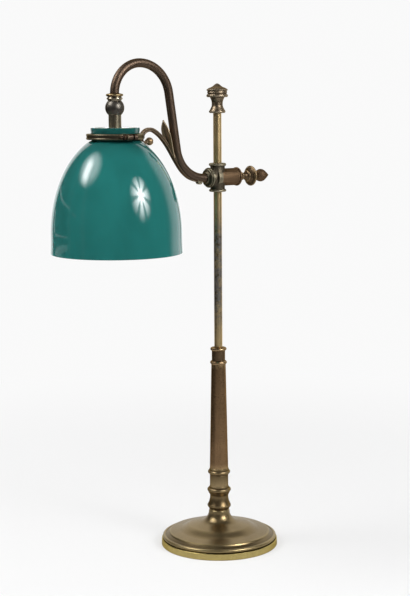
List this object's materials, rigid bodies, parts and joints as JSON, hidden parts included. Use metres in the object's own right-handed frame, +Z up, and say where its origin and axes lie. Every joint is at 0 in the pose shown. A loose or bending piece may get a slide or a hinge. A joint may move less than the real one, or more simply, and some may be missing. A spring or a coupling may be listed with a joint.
{
  "type": "adjustable desk lamp",
  "caption": "Brass desk lamp with a sliding, turning clamp on a rod, a swan-neck arm with a leaf bracket, and a green cased-glass bell shade.",
  "frame": {"origin": "where the stem's axis meets the table, under the middle of the foot", "axes": "+Z up the stem; the arm reaches along -X; the clamp's knob points along +X"},
  "size_m": [0.3016, 0.153, 0.5978],
  "materials": {
    "baize": "worn green baize",
    "satin_brass": "satin, olive brown patina",
    "bright_brass": "polished, worn",
    "brown_brass": "brown patina, handled edges brighter",
    "rod_brass": "drawn tube, golden with dark spots",
    "dark_brass": "dark grey-brown patina",
    "cast_iron": "as cast",
    "steel": "turned",
    "liner_bronze": "sprung bush, rubbed bright",
    "green_casing": "glossy deep green outer layer",
    "opal_lining": "glossy white inner layer",
    "bulb_glass": "pearl",
    "ceramic": "glazed",
    "bulb_metal": "pressed"
  },
  "bodies": {
    "stand": {"base_felt": "baize", "base_band": "bright_brass", "base_dome": "satin_brass", "base_weight": "cast_iron", "base_washer": "steel", "base_nut": "steel", "tie_rod": "steel", "column_knop": "satin_brass", "column_collar": "satin_brass", "column_tube": "brown_brass", "column_cap": "satin_brass", "stem_rod": "rod_brass", "rod_plug": "dark_brass", "finial": "satin_brass"},
    "carriage": {"friction_liner": "liner_bronze"},
    "clamp": {"slider_sleeve": "satin_brass", "clamp_barrel": "brown_brass", "barrel_ring": "brown_brass"},
    "shoe": {"clamp_shoe": "liner_bronze"},
    "clamp_screw": {"clamp_screw": "brown_brass", "clamp_knob": "brown_brass", "clamp_acorn": "brown_brass"},
    "arm": {"arm_cup": "dark_brass", "swan_neck": "brown_brass", "leaf_bracket": "satin_brass", "shade_ring": "satin_brass", "neck_flange": "satin_brass", "lock_ring": "bright_brass", "knuckle_ball": "dark_brass", "drop_tube": "dark_brass", "holder_cap": "satin_brass", "holder_shell": "bright_brass", "holder_skirt": "bright_brass", "holder_insulator": "ceramic", "contact_plungers": "bright_brass", "terminal_screws": "bright_brass", "bulb_cap": "bulb_metal", "bulb_glass": "bulb_glass", "shade_casing": "green_casing", "shade_lining": "opal_lining"},
    "ring_washer": {"ring_washer": "dark_brass"},
    "ring_screw": {"ring_screw": "dark_brass", "ring_handle": "dark_brass"}
  },
  "joints": [
    {"name": "height_slide", "type": "slide", "parent": "stand", "child": "carriage", "axis": [0, 0, 1], "range_m": [-0.19, 0.059]},
    {"name": "swivel", "type": "hinge", "parent": "carriage", "child": "clamp", "pos_m": [0, 0, 0.4567], "axis": [0, 0, 1], "continuous": true},
    {"name": "arm_tilt", "type": "hinge", "parent": "clamp", "child": "arm", "pos_m": [-0.01, 0, 0.4567], "axis": [1, 0, 0], "range_deg": [-75, 75]},
    {"name": "shoe_slide", "type": "slide", "parent": "clamp", "child": "shoe", "axis": [1, 0, 0], "range_m": [0, 0.0015]},
    {"name": "clamp_turn", "type": "hinge", "parent": "shoe", "child": "clamp_screw", "pos_m": [0.04, 0, 0.4567], "axis": [1, 0, 0], "range_deg": [0, 540]},
    {"name": "washer_slide", "type": "slide", "parent": "arm", "child": "ring_washer", "axis": [-1, 0, 0], "range_m": [0, 0.00105]},
    {"name": "ring_turn", "type": "hinge", "parent": "ring_washer", "child": "ring_screw", "pos_m": [-0.1538, -0.037, 0.5091], "axis": [-1, 0, 0], "range_deg": [0, 540]}
  ],
  "couplings": [
    {"joint": "clamp_turn", "follows": "shoe_slide", "rad_per_m": 6283.2},
    {"joint": "ring_turn", "follows": "washer_slide", "rad_per_m": 8976}
  ]
}
